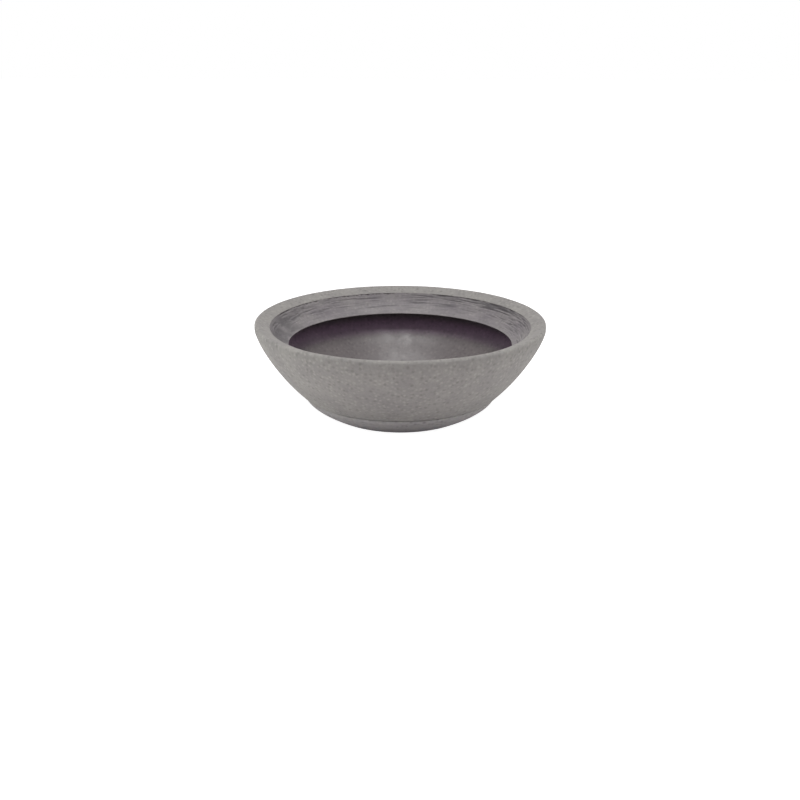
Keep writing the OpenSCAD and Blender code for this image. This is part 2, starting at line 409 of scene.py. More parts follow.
def shell_outline():
    """The shell's outline from the base over the rim to the floor, its shares of relief, and the
    number of its first point past the lip."""
    p = POT
    rim_arc = arc(p.rim_centre, p.rim_round, 0, 90 + p.rim_tilt, step=0.9)
    lip_arc = arc(p.lip_centre, p.lip_round, 90 + p.rim_tilt, 180 - p.band_top_lean, step=0.5)
    top = line(rim_arc[-1], lip_arc[0], step=1.1)
    inner_top = np.array([RIM_R - p.wall_t, POT_H - p.upright_h])
    span = np.linalg.norm(inner_top - p.band_back)
    band_pull, wall_pull = p.crown_pulls
    crown = cubic((p.band_back, p.band_back - span * band_pull * down(p.band_top_lean),
                   inner_top + [0, span * wall_pull], inner_top), np.linspace(0, 1, 15)[:, None])

    # Down the inner face, over the step where the wall goes into the saucer, to the floor
    step_start = p.wall.at_height(p.seam_h + p.step_rise, p.wall_t)
    inner_wall = p.wall.trace(3.0, p.wall_t, end=step_start)
    nest = p.saucer_t + p.nest_gap
    base_end = p.side.at_height(p.base_h, nest)
    base_r = p.side.beside(base_end, nest)[0, 0]
    nest_corner = np.array([SAUCER_R - nest + p.seat_round, p.seam_h - p.seat_round])
    step = nest_corner + (p.seat_round + p.wall_t) * inward(p.step_lean)
    over_step = Curve(inner_wall[-1], p.wall.lean(step_start), p.ease, step, p.step_lean, p.ease)
    to_floor = Curve(step, p.step_lean, p.ease, np.array([base_r - p.wall_t, p.pot_floor]), 90, p.ease)
    over_step, to_floor = over_step.trace(2.5), to_floor.trace(2.0)
    floor_ring = line(to_floor[-1], [PIERCED_R, p.pot_floor], step=6.0)

    # From the base up the part that nests in the saucer, round the seam and up the outer wall
    base_ring = line([PIERCED_R, p.base_h], [base_r, p.base_h], step=8.0)
    nest_side = p.side.trace(2.0, nest, end=base_end)[::-1]
    nest_arc = arc(nest_corner, p.seat_round, 180, 90, step=0.6)
    seam = np.array([p.seam_r, p.seam_h])
    seam_centre = round_centre(seam, p.seam_round, -inward(p.seam_lean), np.array([0.0, -1.0]))
    seam_arc = arc(seam_centre, p.seam_round, -90, -p.seam_lean, step=0.25)
    outer_wall = p.wall.trace(2.1, end=p.wall.at_height(seam_arc[-1, 1]))[::-1]
    upright = line(outer_wall[-1], rim_arc[0], step=1.5)

    before, before_share = join(
        (base_ring, 0.0),
        (nest_side, 0.0),
        (nest_arc, 0.0),
        (line(nest_arc[-1], seam_arc[0], step=1.2), 0.0),
        (seam_arc, 0.0),
        (outer_wall, faded(len(outer_wall), 6, 4, UPRIGHT_SHARE)),
        (upright, fade(UPRIGHT_SHARE, EDGE_SHARE, len(upright))),
        (rim_arc, fade(EDGE_SHARE, 1.0, len(rim_arc))),
        (top, 1.0),
        (lip_arc, fade(1.0, 0.0, len(lip_arc))))
    after, after_share = join(
        (np.array([p.band_back]), 0.0),
        (crown, 0.0),
        (inner_wall, faded(len(inner_wall), 6)),
        (over_step, 1.0),
        (to_floor, fade(1.0, 0.0, len(to_floor))),
        (floor_ring, 0.0))
    return np.vstack([before, after]), np.concatenate([before_share, after_share]), len(before)


def build_shell(finish):
    """The pot's one-piece shell: folded rim, hollow under it, walls, seam and pierced floor."""
    p = POT
    outline, share, past_lip = shell_outline()
    plain = turn(outline)
    swells = ripple(plain, finish.swell_size / MM, seed=11)
    dimples = ripple(plain, DIMPLE_SIZE, seed=12)
    relief = -share * (finish.swell_depth / MM) * (0.5 - SWELL_SHARE * swells - DIMPLE_SHARE * dimples)
    points = turn(outline, relief=relief, normals=outline_normals(outline))

    # The inner face starts past the lip, and its plastic is darker and a little more violet.
    inside = np.zeros(len(outline))
    inside[past_lip:] = 1.0
    # Under the fold the inner face also gets a painted shade tone, lighter and more violet than the rest
    under = inside * np.interp(outline[:, 1], FOLD_SHADE_HEIGHTS, FOLD_SHADE_SHARES)
    parts = MeshParts()
    index = parts.add_points(points, inside=inside, under=under)
    parts.add_grid(index)

    upper = fill_disc(parts, index[:, -1], p.pot_floor, True, p.pocket_r, inside=1.0)
    lower = fill_disc(parts, index[:, 0], p.base_h, False, p.drain_r)
    everything = np.vstack(parts.points)
    for top_ring, low_ring in zip(upper, lower):
        sunk, hole = everything[top_ring].copy(), everything[low_ring].copy()
        sunk[:, 2] = hole[:, 2] = p.pocket_floor
        sunk_ring, hole_ring = parts.add_points(sunk, inside=1.0), parts.add_points(hole, inside=1.0)
        for a, b in ((top_ring, sunk_ring), (sunk_ring, hole_ring), (hole_ring, low_ring)):
            parts.add_strip(a, b)
    return parts.make("pot_shell")


# Where the knife's marks lie: share of them, middle and spread of their direction from +X in degrees,
# the part of the band's height that they keep to, half their length and half their width in
# millimetres, their strength, and the share of them that are raised burrs
SCORE_GROUPS = (
    (0.19, 88.0, 30.0, (0.04, 0.82), (8, 30), (0.4, 1.1), (0.35, 1.0), 0.3),
    (0.14, 47.0, 14.0, (0.01, 0.30), (12, 40), (0.5, 1.3), (0.55, 0.9), 0.3),
    (0.22, 10.0, 19.0, (0.04, 0.90), (8, 26), (0.5, 1.3), (0.4, 0.9), 0.3),
    (0.13, 148.0, 14.0, (0.01, 0.60), (5, 16), (0.6, 1.6), (0.35, 0.75), 0.3),
    (0.18, 180.0, 20.0, (0.05, 1.15), (6, 20), (0.6, 1.5), (0.25, 0.55), 0.2),
    # Broad soft smudges, never raised: through the score tint they paint shade on the band's left end
    (0.07, 176.0, 12.0, (0.10, 1.15), (16, 30), (6.0, 10.0), (0.3, 0.5), 0.0),
    (0.07, 0.0, 400.0, (0.02, 0.75), (4, 24), (0.4, 0.9), (0.2, 0.7), 0.3))

# How a mark runs: its spread over the height, the rise to its end and its waver in millimetres, that
# waver's turn over half its length in radians, its taper, the burr beside a cut (its distance and width
# in half widths, its height as a share of the cut's depth), and the height of a raised burr
SCORE_SPREAD, SCORE_RISE, SCORE_WAVER, WAVER_TURN, SCORE_TAPER = (1.2, 1.6), 0.7, 0.5, 3, 1.5
BESIDE_AT, BESIDE_WIDTH, BESIDE_HEIGHT, RAISED_HEIGHT = 2.1, 0.9, 0.3, 0.8

# Chips along the rim's inner edge: share of them, middle and spread of their direction in degrees,
# half their length in millimetres and their strength
CHIP_GROUPS = (
    (0.30, 107.0, 9.0, (1.6, 4.0), (0.6, 1.0)),
    (0.27, 147.0, 12.0, (1.6, 5.0), (0.6, 1.0)),
    (0.23, 48.0, 12.0, (5.0, 16.0), (0.6, 1.0)),
    (0.20, 0.0, 400.0, (1.6, 7.0), (0.35, 0.8)))

# The ledge between the chips: its depth and, in millimetres, its reach down the band, then the reach of
# every chip and what a deep one adds, and the powers that round a chip and the ledge's foot
LEDGE_DEPTH, LEDGE_REACH, CHIP_REACH, CHIP_EXTRA = 0.2, 1.1, 0.8, (1.0, 3.2)
CHIP_POWER, LEDGE_POWER = 0.6, 0.7

# Sizes and depths in millimetres of the band's soft swells and its fine relief, and how many times as
# long as high the knife drew that
BAND_SWELL_SIZE, BAND_SWELL_DEPTH = 32.0, 0.16
BAND_FINE_SIZE, BAND_FINE_DEPTH, BAND_FINE_STRETCH = 7.0, 0.07, 3.2

# How far the knife has smoothed the lower half of the band, where 1 is as smooth as the inner face
BURNISH = 0.45


def scattered(rng, groups, count, angle):
    """Random marks: each one's turn from its middle, up to half a turn, and its group's values."""
    for group in rng.choice(len(groups), count, p=[group[0] for group in groups]):
        _, direction, spread, *values = groups[group]
        middle = math.radians(rng.normal(direction, spread))
        yield (angle - middle + math.pi) % (2 * math.pi) - math.pi, values


def scores(rng, count, angle, along, radius):
    """Depth of the knife's marks over the band, up to 1 in a cut and below 0 on a raised burr."""
    depth = np.zeros((len(angle), len(along)))
    for off, values in scattered(rng, SCORE_GROUPS, count, angle):
        heights, lengths, widths, strengths, raised = values
        half = rng.uniform(*lengths) / radius
        place = along[-1] * (heights[0] + (heights[1] - heights[0]) * rng.beta(*SCORE_SPREAD))
        rise = rng.normal(0, SCORE_RISE)
        width = rng.uniform(*widths)
        strength = rng.uniform(*strengths) * (-RAISED_HEIGHT if rng.random() < raised else 1.0)
        waver, phase = rng.uniform(0, SCORE_WAVER), rng.uniform(0, 2 * math.pi)
        near = np.abs(off) < half
        x = off[near] / half
        middle = place + rise * x + waver * np.sin(WAVER_TURN * x + phase)
        u = (along[None, :] - middle[:, None]) / width
        cut = np.exp(-u * u) - BESIDE_HEIGHT * np.exp(-((u - BESIDE_AT) / BESIDE_WIDTH) ** 2)
        depth[near] += strength * (1 - x * x)[:, None] ** SCORE_TAPER * cut
    return depth


def ragged_edge(rng, count, angle, along, radius):
    """Depth of the little ledge that the knife leaves where the band meets the rim, 0 to 1."""
    ragged = np.full(len(angle), LEDGE_DEPTH)
    reach = np.full(len(angle), LEDGE_REACH)
    for off, (lengths, strengths) in scattered(rng, CHIP_GROUPS, count, angle):
        bump = np.clip(1 - (off * radius / rng.uniform(*lengths)) ** 2, 0, 1) ** CHIP_POWER
        ragged = np.maximum(ragged, bump * rng.uniform(*strengths))
        reach = np.maximum(reach, CHIP_REACH + bump * rng.uniform(*CHIP_EXTRA))
    fall = np.clip(1 - (along[None, :] / reach[:, None]) ** 2, 0, 1) ** LEDGE_POWER
    chips = ragged[:, None] * fall
    chips[:, 0] = 0.0
    return chips


def build_band(finish):
    """The inner band: a scored, concave face from the rim's inner corner to its cut lower edge."""
    p = POT
    face = p.band.trace(0.62)
    back_end = p.band.at_height(p.edge[1], -p.band_t)
    back = p.band.trace(3.0, -p.band_t, end=back_end)[::-1]
    outline = join_plain(face, line(face[-1], p.edge, step=0.4), line(p.edge, back[0], step=1.6), back,
                         line(back[-1], face[0], step=1.2)[:-1])
    normals = outline_normals(outline, closed=True)
    normals[0] = outline_normals(face)[0]

    rows = len(face)
    along = np.r_[0, np.cumsum(np.linalg.norm(np.diff(face, axis=0), axis=1))]
    plain = turn(outline, BAND_SEGMENTS)[:, :rows]
    angle = np.arange(BAND_SEGMENTS) * 2 * math.pi / BAND_SEGMENTS
    rng = np.random.default_rng(finish.score_seed)
    marks = scores(rng, finish.score_count, angle, along, face[:, 0].mean())
    chips = ragged_edge(rng, finish.chip_count, angle, along, face[0, 0])
    swells = ripple(plain, BAND_SWELL_SIZE, seed=21)
    fine = ripple(plain * [1, 1, BAND_FINE_STRETCH], BAND_FINE_SIZE, seed=22)

    # The relief dies away at the crease and at the cut edge, so that the band stays closed there.
    settle = np.ones(rows)
    settle[0] = 0.0
    settle[-3:] = (0.5, 0.25, 0.0)
    relief = np.zeros((BAND_SEGMENTS, len(outline)))
    relief[:, :rows] = -settle * (marks * finish.score_depth / MM + chips * finish.chip_depth / MM
                                  + BAND_SWELL_DEPTH * (0.5 - 0.5 * swells) + BAND_FINE_DEPTH * fine)
    points = turn(outline, BAND_SEGMENTS, relief, normals)
    burnished = BURNISH * np.clip(2 * along / along[-1], 0, 1)
    # "burred" places a painted highlight on raised burrs and "chipped" painted shade in the chips
    values = {}
    for name, value in {"scored": marks, "burred": -marks, "chipped": chips,
                        "burnished": burnished}.items():
        values[name] = np.zeros_like(relief)
        values[name][:, :rows] = np.clip(value, 0, 1)
    parts = MeshParts()
    parts.add_grid(parts.add_points(points, **values), closed=True)
    return parts.make("inner_band")


def add_ribs(parts):
    """Adds the saucer's ribs: stacks of level outlines, spread at the root and rounded on top."""
    p = POT
    root_r, top_r, sunk = 1.0, 0.6, 0.4
    turns = np.radians(np.linspace(0, 90, 6))
    levels = [(p.saucer_floor - sunk, root_r)]
    levels += [(p.saucer_floor + root_r * (1 - math.cos(a)), root_r * (1 - math.sin(a))) for a in turns]
    levels += [(p.base_h - top_r + top_r * math.sin(a), -top_r * (1 - math.cos(a))) for a in turns]
    half_turn = np.radians(np.linspace(90, 270, 13))
    deep = p.saucer_t - 2 * sunk
    rings = []
    for z, spread in levels:
        half = p.rib_t / 2 + spread
        end = p.side.beside(p.side.at_height(z, deep), deep)[0, 0]
        nose = half * np.column_stack([np.cos(half_turn), np.sin(half_turn)]) + [p.rib_start, 0.0]
        rings.append(np.vstack([[end, -half], [end, half], nose]))
    stack = np.stack(rings, axis=1)
    x, y = stack[..., 0], stack[..., 1]
    z = np.broadcast_to([level for level, _ in levels], x.shape)
    for i in range(p.ribs):
        angle = 2 * math.pi * (i + 0.5) / p.ribs
        cos, sin = math.cos(angle), math.sin(angle)
        turned = np.stack([x * cos - y * sin, x * sin + y * cos, z], axis=-1)
        ring = parts.add_points(turned)
        parts.add_grid(ring)
        parts.faces.append(ring[:, -1].tolist())


def build_saucer(finish):
    """The drip saucer: stand ring, curved side, rounded rim, floor and the ribs that carry the pot."""
    p = POT
    under_r, floor_r, fillet = 72.0, 60.0, 3.0
    rim_r = p.saucer_t / 2
    stand_inner = p.foot_r - p.stand_w
    ceiling = line([under_r, p.recess_h], [stand_inner - p.recess_h, p.recess_h], step=3.0)
    slope = line(ceiling[-1], [stand_inner, 0.0], step=1.0)
    stand = line(slope[-1], [p.foot_r, 0.0], step=4.0)
    side = p.side.trace(1.6)[::-1]
    rim = arc([SAUCER_R - rim_r, SAUCER_H - rim_r], rim_r, 0, 180, step=0.35)
    inner_end = p.side.at_height(p.saucer_floor + fillet / 2, p.saucer_t)
    inner = p.side.trace(2.0, p.saucer_t, end=inner_end)
    corner_r = p.side.beside(p.side.at_height(p.saucer_floor, p.saucer_t), p.saucer_t)[0, 0]
    root = Curve(inner[-1], p.side.lean(inner_end), p.ease,
                 np.array([corner_r - fillet, p.saucer_floor]), 90, p.ease).trace(0.6)
    floor = line(root[-1], [floor_r, p.saucer_floor], step=6.0)
    outline, share = join((ceiling, 0.0), (slope, 0.0), (stand, 0.0), (side, faded(len(side), 8, 6)),
                          (rim, 0.0), (inner, 0.0), (root, 0.0), (floor, 0.0))
    swells = ripple(turn(outline), finish.swell_size / MM, seed=31)
    relief = -share * (finish.swell_depth / MM) * (0.5 - 0.5 * swells)
    points = turn(outline, relief=relief, normals=outline_normals(outline))

    # The outer side is painted darker towards the foot, as painted shade where the floor's contact shadow
    # falls. Three points that stretches share fall away.
    low = np.zeros(len(outline))
    outer = slice(0, len(ceiling) + len(slope) + len(stand) + len(side) - 3)
    low[outer] = 1 - outline[outer, 1] / SAUCER_H
    parts = MeshParts()
    index = parts.add_points(points, low=low)
    parts.add_grid(index)
    fill_disc(parts, index[:, 0], p.recess_h, False, low=1.0)
    fill_disc(parts, index[:, -1], p.saucer_floor, True)
    add_ribs(parts)
    return parts.make("saucer_shell")


def build_plug(number):
    """A rubber drain plug: tapered end, shank, round head and waisted knob."""
    p = POT
    shank_r = p.drain_r - p.plug_play
    tip = PLUG_LOW.z / MM
    head_top = p.pocket_floor + p.head_t
    head_round, low_round, tip_round, cap_r = p.head_t / 2, 0.3, 0.6, 0.5
    knob_round = p.knob_r / 2
    knob_top = head_top + p.knob_h
    corners = np.array([[p.head_r - head_round, head_top], [p.waist_r, head_top],
                        [p.waist_r, head_top + p.knob_h / 8], [p.knob_r, knob_top - 2 * knob_round]])
    waist = cubic(corners, np.linspace(0, 1, 17)[:, None])
    tip_arc = arc([shank_r - p.taper_in - tip_round, tip + tip_round], tip_round, -90, 0, step=0.2)
    outline = join_plain(
        line([cap_r, tip], tip_arc[0], step=2.0),
        tip_arc,
        line(tip_arc[-1], [shank_r, p.base_h], step=0.8),
        line([shank_r, p.base_h], [shank_r, p.pocket_floor], step=0.8),
        line([shank_r, p.pocket_floor], [p.head_r - low_round, p.pocket_floor], step=1.2),
        arc([p.head_r - low_round, p.pocket_floor + low_round], low_round, -90, 0, step=0.12),
        arc([p.head_r - head_round, head_top - head_round], head_round, 0, 90, step=0.2),
        waist,
        arc([p.knob_r - knob_round, knob_top - knob_round], knob_round, 0, 90, step=0.3),
        line([p.knob_r - knob_round, knob_top], [cap_r, knob_top], step=0.6))
    x, y = drain_places()[number]
    parts = MeshParts()
    index = parts.add_points(turn(outline, PLUG_SEGMENTS) + [x, y, 0])
    parts.add_grid(index)
    parts.faces.append(index[::-1, 0].tolist())
    parts.faces.append(index[:, -1].tolist())
    return parts.make(f"rubber_plug_{number + 1}")


def linear(text):
    """Linear colour with its fourth value from an sRGB hex value."""
    values = [int(text[i:i + 2], 16) / 255 for i in (0, 2, 4)]
    return (*(v / 12.92 if v <= 0.04045 else ((v + 0.055) / 1.055) ** 2.4 for v in values), 1.0)


def add_node(tree, kind, inputs=(), **settings):
    """Adds a node with its settings. An input is linked to a node or one of its outputs, or else set."""
    node = tree.nodes.new(kind)
    for key, value in settings.items():
        setattr(node, key, value)
    for key, value in dict(inputs).items():
        value = value.outputs[0] if isinstance(value, bpy.types.Node) else value
        if isinstance(value, bpy.types.NodeSocket):
            tree.links.new(value, node.inputs[key])
        else:
            node.inputs[key].default_value = value
    return node


# The sockets of a Mix node that is set to colours
MIX_A, MIX_B, MIX_OUT = 6, 7, 2


def blank_tree(owner):
    """The emptied node tree of a material or a world."""
    owner.use_nodes = True
    owner.node_tree.nodes.clear()
    return owner.node_tree


def per_metre(size_mm):
    """Texture scale whose features are about that many millimetres across."""
    return 1.0 / (size_mm * MM)


# The plastic's patterns: size in millimetres, detail and roughness. The real grain and flecks are finer
# than a pixel of the render, so they are drawn as coarse as they need to show. Streaks are long and low.
CLOUD, GRAIN, PITS = (30.0, 2.0, 0.55), (4.4, 2.5, 0.55), (1.1, 3.0, 0.6)
STREAK_SIZE, STREAK_SQUEEZE = 2.4, 0.1

# The part of its range in which most of a noise pattern lies
MIDDLE = {"From Min": 0.3, "From Max": 0.7}

# The patches' share of the pale colour, and the grain's tones
CLOUD_TINT, GRAIN_TONES = 0.22, {"To Min": 0.9, "To Max": 1.09}

# The share of cells that have a fleck, the share of those at full strength, the pale flecks' width as a
# share of the dark ones', a cell's size in widths of a fleck, the distances from its middle at which the
# fleck is full and ends, and how far the pattern moves from seed to seed in metres
FLECK_SHARE, FULL_SHARE, PALE_WIDTH = 0.8, 0.3, 0.9
FLECK_CELL, FLECK_FULL, FLECK_END, SEED_SHIFT = 1.6, 0.15, 0.55, (0.37, 0.11, 0.53)

# Roughness from the blasted mould, its share that is left on smoother plastic, and the bump on both
MATT, POLISH = {"To Min": 0.7, "To Max": 0.88}, {"To Min": 0.66, "To Max": 0.51}
MATT_BUMP, SMOOTH_BUMP = 0.45, 0.16

POLYETHYLENE_IOR, RUBBER_IOR, RUBBER_BLOOM = 1.51, 1.52, linear("4a4847")


def fleck_mask(tree, place, size_mm, share, seed):
    """1 in the middle of scattered soft flecks. A share of the pattern's cells has one."""
    shift = tuple(seed * step for step in SEED_SHIFT)
    moved = add_node(tree, "ShaderNodeVectorMath", {0: place, 1: shift}, operation="ADD")
    cells = add_node(tree, "ShaderNodeTexVoronoi", {
        "Vector": moved, "Scale": per_metre(size_mm * FLECK_CELL)})
    spot = add_node(tree, "ShaderNodeMapRange", {
        "Value": cells.outputs["Distance"], "From Min": FLECK_END, "From Max": FLECK_FULL})
    pick = add_node(tree, "ShaderNodeSeparateColor", {"Color": cells.outputs["Color"]})
    chosen = add_node(tree, "ShaderNodeMapRange", {
        "Value": pick, "From Min": 1 - share, "From Max": 1 - share * FULL_SHARE})
    return add_node(tree, "ShaderNodeMath", {0: spot, 1: chosen}, operation="MULTIPLY")


def stone_polyethylene(name, base, finish, marks=(), smooth=None, flecks=1.0, drag=0.0, gloss=0.5):
    """Rotationally moulded polyethylene filled with stone powder.

    The mould's blasted wall leaves it fully matt and very finely pitted, and the powder shows as small
    dark and pale flecks in soft, cloudy patches. Each mark is an attribute of the mesh, its lowest and
    highest value, and the tint that it gives. The side that didn't touch the mould is smoother, and so
    is plastic that a knife has burnished: smooth names the attribute that says how far. A knife drawn
    around the pot leaves streaks, and drag is how strongly they show. Flecks is the share of their
    strength that the flecks have here, and gloss is the shader's specular level.
    """
    made = bpy.data.materials.new(name)
    tree = blank_tree(made)
    place = add_node(tree, "ShaderNodeTexCoord").outputs["Object"]
    cloud, grain, pits = (
        add_node(tree, "ShaderNodeTexNoise", {
            "Vector": place, "Scale": per_metre(size), "Detail": detail, "Roughness": broken})
        for size, detail, broken in (CLOUD, GRAIN, PITS))

    # Colour: the patches, the flecks on them, then the marks' tints, among them painted shade and a painted
    # highlight, and the grain's tones
    patches = add_node(tree, "ShaderNodeMapRange", {**MIDDLE, "Value": cloud, "To Max": CLOUD_TINT})
    colour = add_node(tree, "ShaderNodeMix", {0: patches, MIX_A: base, MIX_B: finish.pale_colour},
                      data_type="RGBA").outputs[MIX_OUT]
    size = finish.fleck_size / MM
    for seed, width, paint in ((1, size, finish.dark_colour), (2, size * PALE_WIDTH, finish.pale_colour)):
        mask = fleck_mask(tree, place, width, FLECK_SHARE, seed)
        share = add_node(tree, "ShaderNodeMath", {0: mask, 1: finish.fleck_strength * flecks},
                         operation="MULTIPLY")
        colour = add_node(tree, "ShaderNodeMix", {0: share, MIX_A: colour, MIX_B: paint},
                          data_type="RGBA").outputs[MIX_OUT]
    for attribute, low, high, shade in marks:
        value = add_node(tree, "ShaderNodeAttribute", attribute_name=attribute).outputs["Fac"]
        share = add_node(tree, "ShaderNodeMapRange", {"Value": value, "From Min": low, "From Max": high})
        colour = add_node(tree, "ShaderNodeMix", {0: share, MIX_A: colour, MIX_B: (*shade, 1)},
                          data_type="RGBA", blend_type="MULTIPLY").outputs[MIX_OUT]
    speckle = add_node(tree, "ShaderNodeMapRange", {
        **GRAIN_TONES, "Value": grain, "From Min": 0.25, "From Max": 0.75})
    toned = add_node(tree, "ShaderNodeVectorMath", {0: colour, "Scale": speckle}, operation="SCALE")
    if drag:
        # Flattening the sideways directions draws the noise out around the pot.
        squeeze = (STREAK_SQUEEZE, STREAK_SQUEEZE, 1.0)
        flat = add_node(tree, "ShaderNodeVectorMath", {0: place, 1: squeeze}, operation="MULTIPLY")
        streaks = add_node(tree, "ShaderNodeTexNoise", {
            "Vector": flat, "Scale": per_metre(STREAK_SIZE), "Detail": 1.5})
        level = add_node(tree, "ShaderNodeMapRange", {
            **MIDDLE, "Value": streaks, "To Min": 1 - drag, "To Max": 1 + drag})
        toned = add_node(tree, "ShaderNodeVectorMath", {0: toned, "Scale": level}, operation="SCALE")

    # Roughness and relief, both less on smoother plastic
    rough = add_node(tree, "ShaderNodeMapRange", {**MIDDLE, **MATT, "Value": grain})
    strength = MATT_BUMP
    if smooth:
        value = add_node(tree, "ShaderNodeAttribute", attribute_name=smooth).outputs["Fac"]
        uneven = add_node(tree, "ShaderNodeMapRange", {**MIDDLE, **POLISH, "Value": cloud})
        polished = add_node(tree, "ShaderNodeMath", {0: rough, 1: uneven}, operation="MULTIPLY")
        rough = add_node(tree, "ShaderNodeMix", {0: value, 2: rough, 3: polished}, data_type="FLOAT")
        strength = add_node(tree, "ShaderNodeMapRange", {
            "Value": value, "To Min": MATT_BUMP, "To Max": SMOOTH_BUMP})
    heights = add_node(tree, "ShaderNodeMath", {0: grain, 1: pits}, operation="ADD")
    raised = add_node(tree, "ShaderNodeBump", {
        "Height": heights, "Strength": strength, "Distance": finish.grain_depth})
    shader = add_node(tree, "ShaderNodeBsdfPrincipled", {
        "Base Color": toned, "Roughness": rough, "Normal": raised, "IOR": POLYETHYLENE_IOR,
        "Specular IOR Level": gloss})
    add_node(tree, "ShaderNodeOutputMaterial", {"Surface": shader})
    return made


def moulded_rubber(name, colour):
    """EPDM rubber pressed in a fine-eroded mould: black-brown and dull, with a faint bloom."""
    made = bpy.data.materials.new(name)
    tree = blank_tree(made)
    place = add_node(tree, "ShaderNodeTexCoord").outputs["Object"]
    bloom = add_node(tree, "ShaderNodeTexNoise", {"Vector": place, "Scale": per_metre(6), "Detail": 3.0})
    erosion = add_node(tree, "ShaderNodeTexNoise", {"Vector": place, "Scale": per_metre(0.5), "Detail": 2.0})
    paint = add_node(tree, "ShaderNodeMix", {0: bloom, MIX_A: colour, MIX_B: RUBBER_BLOOM},
                     data_type="RGBA").outputs[MIX_OUT]
    rough = add_node(tree, "ShaderNodeMapRange", {"Value": bloom, "To Min": 0.5, "To Max": 0.72})
    raised = add_node(tree, "ShaderNodeBump", {"Height": erosion, "Strength": 0.3, "Distance": 0.05 * MM})
    shader = add_node(tree, "ShaderNodeBsdfPrincipled", {
        "Base Color": paint, "Roughness": rough, "Normal": raised, "IOR": RUBBER_IOR})
    add_node(tree, "ShaderNodeOutputMaterial", {"Surface": shader})
    return made


# What red, green and blue are multiplied by: inside the pot; once more under its fold, as a painted shade
# tone; in the score marks, also as painted shade on the broad smudges at the band's left end; on the burrs,
# as a painted highlight; in the chips, as painted shade; and at the saucer's foot, as painted shade
INSIDE_TINT = (0.49, 0.448, 0.474)
PAINTED_FOLD_SHADE_TINT = (1.72, 1.25, 1.88)
SCORE_TINT = (0.52, 0.52, 0.53)
PAINTED_BURR_HIGHLIGHT_TINT = (1.22, 1.20, 1.21)
PAINTED_CHIP_SHADE_TINT = (0.55, 0.54, 0.55)
PAINTED_FOOT_SHADE_TINT = (0.42, 0.41, 0.44)


def colour_setting(name, description, shade):
    """A colour whose default is an sRGB hex value."""
    return bpy.props.FloatVectorProperty(
        name=name, description=description, subtype="COLOR", size=4, min=0, max=1, default=linear(shade))


def length_setting(name, description, size_mm, high_mm, low_mm=0):
    """A length, given in millimetres with its limits."""
    return bpy.props.FloatProperty(
        name=name, description=description, unit="LENGTH",
        default=size_mm * MM, min=low_mm * MM, max=high_mm * MM)


def power_setting(name, description, watts):
    """A lamp's power."""
    return bpy.props.FloatProperty(name=name, description=description, unit="POWER", default=watts, min=0)


class PotFinish(bpy.types.PropertyGroup):
    pot_colour: colour_setting("Pot", "Main grey of the pot's shell", "8a8685")
    band_colour: colour_setting("Band", "Main grey of the scored inner band", "7a7478")
    saucer_colour: colour_setting("Saucer", "Main grey of the drip saucer", "a6a1a4")
    dark_colour: colour_setting("Dark flecks", "Colour of the dark stone flecks", "5f5a5a")
    pale_colour: colour_setting("Pale flecks", "Colour of the pale stone flecks and patches", "b0aca6")
    plug_colour: colour_setting("Plugs", "Colour of the rubber drain plugs", "2a2828")
    fleck_size: length_setting("Fleck size", "Width of a typical stone fleck as drawn", 3.6, 6, 0.5)
    fleck_strength: bpy.props.FloatProperty(
        name="Fleck strength", description="How clearly the flecks stand out", subtype="FACTOR",
        default=0.4, min=0, max=1)
    grain_depth: length_setting("Grain depth", "Depth of the moulded surface's fine pits", 0.35, 1)
    swell_size: length_setting("Swell size", "Width of the soft swells in the moulded wall", 48, 120, 20)
    swell_depth: length_setting("Swell depth", "Depth of the soft swells in the moulded wall", 0.35, 1)
    score_count: bpy.props.IntProperty(
        name="Score marks", description="Number of the knife's marks on the inner band",
        default=460, min=0, max=900)
    score_depth: length_setting("Score depth", "Depth of the deepest mark on the inner band", 0.34, 1)
    score_seed: bpy.props.IntProperty(
        name="Score seed", description="Changes where the marks lie", default=5, min=0)
    chip_count: bpy.props.IntProperty(
        name="Chips", description="Number of chips along the rim's inner edge", default=64, min=0, max=160)
    chip_depth: length_setting("Chip depth", "Depth of the deepest chip", 1.1, 2)


class PotStage(bpy.types.PropertyGroup):
    overhead: power_setting("Overhead softbox", "Power of the softbox over the pot", 18.7)
    front: power_setting("Low front strip", "Power of the low strip light before the pot", 0.2)
    sides: power_setting("Low side strips", "Power of the low strip lights beside the pot", 4.4)
    back: power_setting("Low back strip", "Power of the low strip light behind the pot", 0.9)
    room: bpy.props.FloatProperty(
        name="Room light", description="Strength of the even light from the studio's walls",
        default=0.29, min=0)
    floor_colour: colour_setting("Floor", "Colour of the studio floor", "f1edf0")


class FLOWERPOT_OT_shell(bpy.types.Operator):
    """Adds the pot's shell with its folded rim in place of the frame's bowl"""

    bl_idname = "flowerpot.add_shell"
    bl_label = "Pot shell"

    def execute(self, context):
        finish = context.scene.pot_finish
        piece = build_shell(finish)
        # The inside tint is the plastic's own; under the fold it also gets a painted shade tone
        piece.data.materials.append(stone_polyethylene(
            "rotomoulded_stone_polyethylene", finish.pot_colour, finish,
            [("inside", 0.0, 1.0, INSIDE_TINT), ("under", 0.0, 1.0, PAINTED_FOLD_SHADE_TINT)], smooth="inside"))
        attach(piece, "pot")
        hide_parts("bowl")
        return {"FINISHED"}


